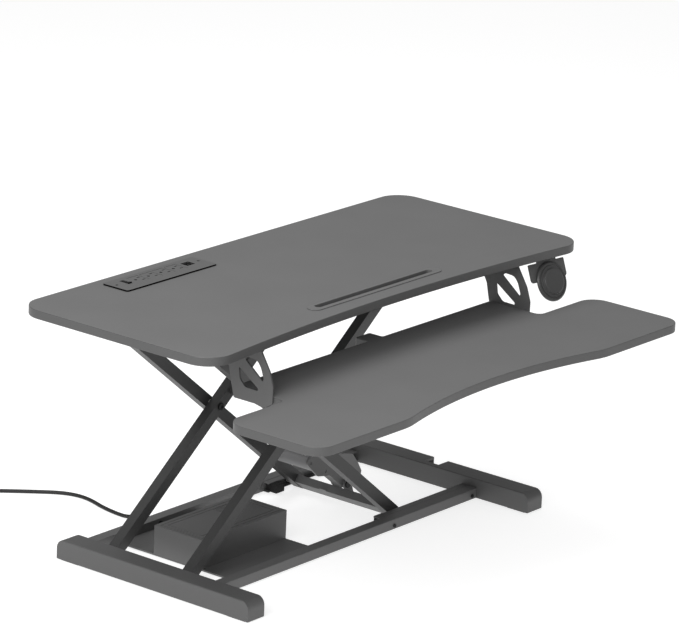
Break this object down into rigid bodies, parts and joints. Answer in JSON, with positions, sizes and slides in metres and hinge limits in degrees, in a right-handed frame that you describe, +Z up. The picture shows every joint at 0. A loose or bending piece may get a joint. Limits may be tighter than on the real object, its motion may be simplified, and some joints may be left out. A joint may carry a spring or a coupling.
{
  "type": "standing desk converter",
  "caption": "Motorised standing desk converter: worktop with power panel and tablet slot, keyboard tray, scissor lift, base with power box and cord.",
  "frame": {"origin": "middle of the object's footprint (without the free cord), on the desk it stands on", "axes": "+X along the worktop, +Y towards its rear edge, +Z up"},
  "size_m": [0.95, 0.9557, 0.4517],
  "materials": {
    "foot_paint": "fine-textured satin powder coat",
    "frame_paint": "satin powder coat",
    "arm_paint": "satin powder coat",
    "bracket_paint": "satin powder coat",
    "box_paint": "satin powder coat",
    "rubber": "matt",
    "zinc_steel": "zinc plated",
    "black_screw": "black oxide",
    "nylon": "moulded",
    "circuit": "circuit board",
    "cord_rubber": "satin flexible sheath",
    "tie_plastic": "soft strap",
    "gearbox_alloy": "painted die casting",
    "motor_shell": "satin grey shell",
    "ram_steel": "satin paint",
    "screw_steel": "ground steel",
    "tabletop": "fibreboard with a fine-textured charcoal laminate",
    "panel_plastic": "fine-textured",
    "slot_plastic": "satin",
    "dial_plastic": "satin soft touch",
    "switch_plastic": "gloss"
  },
  "bodies": {
    "base": {"left_foot": "foot_paint", "right_foot": "foot_paint", "foot_pads": "rubber", "front_rail": "frame_paint", "rear_rail": "frame_paint", "front_base_track": "frame_paint", "rear_base_track": "frame_paint", "track_stops": "rubber", "base_plate": "frame_paint", "base_pivot_brackets": "frame_paint", "base_pivot_pins": "black_screw", "rail_screws": "black_screw", "power_box": "box_paint", "power_box_lid": "box_paint", "power_supply": "circuit", "inner_lead": "cord_rubber", "cord_gland": "cord_rubber", "power_cord": "cord_rubber", "cord_coil": "cord_rubber", "cord_tie": "tie_plastic", "cord_plug": "cord_rubber"},
    "arms_a": {"front_arm_a": "arm_paint", "rear_arm_a": "arm_paint", "ram_cross_tube": "arm_paint", "upper_tube_a": "arm_paint", "top_roller_axles": "zinc_steel", "cross_bolts": "black_screw", "cross_washers": "nylon"},
    "arms_b": {"front_arm_b": "arm_paint", "rear_arm_b": "arm_paint", "lower_bar_b": "frame_paint", "upper_tube_b": "arm_paint", "clevis_bracket": "frame_paint", "clevis_pin": "black_screw", "stop_gussets": "frame_paint", "base_roller_axles": "zinc_steel"},
    "base_roller_f": {"base_roller_front": "nylon"},
    "base_roller_r": {"base_roller_rear": "nylon"},
    "top_roller_f": {"top_roller_front": "nylon"},
    "top_roller_r": {"top_roller_rear": "nylon"},
    "drive": {"gearbox_housing": "gearbox_alloy", "motor": "motor_shell", "ram_tube": "ram_steel"},
    "screw": {"lead_screw": "screw_steel"},
    "rod": {"ram_rod": "screw_steel"},
    "worktop": {"worktop_board": "tabletop", "top_cross_rails": "frame_paint", "front_top_track": "frame_paint", "rear_top_track": "frame_paint", "top_pivot_pins": "black_screw", "power_panel": "panel_plastic", "outlet_faces": "panel_plastic", "tablet_slot_insert": "slot_plastic", "control_plate": "frame_paint", "keyboard_tray": "tabletop", "left_tray_bracket": "bracket_paint", "right_tray_bracket": "bracket_paint", "bracket_screws": "black_screw"},
    "dial": {"control_dial": "dial_plastic"},
    "switch": {"rocker_switch": "switch_plastic"}
  },
  "joints": [
    {"name": "lift", "type": "hinge", "parent": "base", "child": "arms_a", "pos_m": [-0.32789, 0.14775, 0.0115], "axis": [0, 1, 0], "range_deg": [-1.5, 28.6]},
    {"name": "cross_pivot", "type": "hinge", "parent": "arms_a", "child": "arms_b", "pos_m": [-0.0805, 0.14775, 0.20899], "axis": [0, 1, 0], "range_deg": [-57.2, 3]},
    {"name": "top_pivot", "type": "hinge", "parent": "arms_b", "child": "worktop", "pos_m": [-0.32789, 0.14775, 0.40648], "axis": [0, 1, 0], "range_deg": [-1.5, 28.6]},
    {"name": "drive_pivot", "type": "hinge", "parent": "arms_b", "child": "drive", "pos_m": [0.15488, 0.14775, 0.03901], "axis": [0, 1, 0], "range_deg": [-4.86, 0.26]},
    {"name": "rod_pivot", "type": "hinge", "parent": "arms_a", "child": "rod", "pos_m": [-0.04768, 0.14775, 0.23519], "axis": [0, 1, 0], "range_deg": [-62.06, 3.25]},
    {"name": "screw_spin", "type": "hinge", "parent": "drive", "child": "screw", "pos_m": [0.15488, 0.14775, 0.03901], "axis": [-0.7183, 0, 0.6957], "continuous": true},
    {"name": "base_roller_front_spin", "type": "hinge", "parent": "arms_b", "child": "base_roller_f", "pos_m": [0.16689, 0.02915, 0.0115], "axis": [0, 1, 0], "continuous": true},
    {"name": "base_roller_rear_spin", "type": "hinge", "parent": "arms_b", "child": "base_roller_r", "pos_m": [0.16689, 0.26635, 0.0115], "axis": [0, 1, 0], "continuous": true},
    {"name": "top_roller_front_spin", "type": "hinge", "parent": "arms_a", "child": "top_roller_f", "pos_m": [0.16689, 0.02915, 0.40648], "axis": [0, 1, 0], "continuous": true},
    {"name": "top_roller_rear_spin", "type": "hinge", "parent": "arms_a", "child": "top_roller_r", "pos_m": [0.16689, 0.26635, 0.40648], "axis": [0, 1, 0], "continuous": true},
    {"name": "lift_dial", "type": "hinge", "parent": "worktop", "child": "dial", "pos_m": [0.396, -0.08575, 0.39], "axis": [-0.1138, -0.9266, 0.3584], "range_deg": [-20, 20], "stiffness_Nm_per_rad": 0.08},
    {"name": "rocker", "type": "hinge", "parent": "worktop", "child": "switch", "pos_m": [-0.2685, 0.26375, 0.4482], "axis": [1, 0, 0], "range_deg": [0, 16]}
  ],
  "couplings": [
    {"joint": "cross_pivot", "follows": "lift", "ratio": -2},
    {"joint": "top_pivot", "follows": "lift", "ratio": 1},
    {"joint": "drive_pivot", "follows": "lift", "ratio": -0.17},
    {"joint": "rod_pivot", "follows": "lift", "ratio": -2.17},
    {"joint": "screw_spin", "follows": "lift", "ratio": 99}
  ]
}
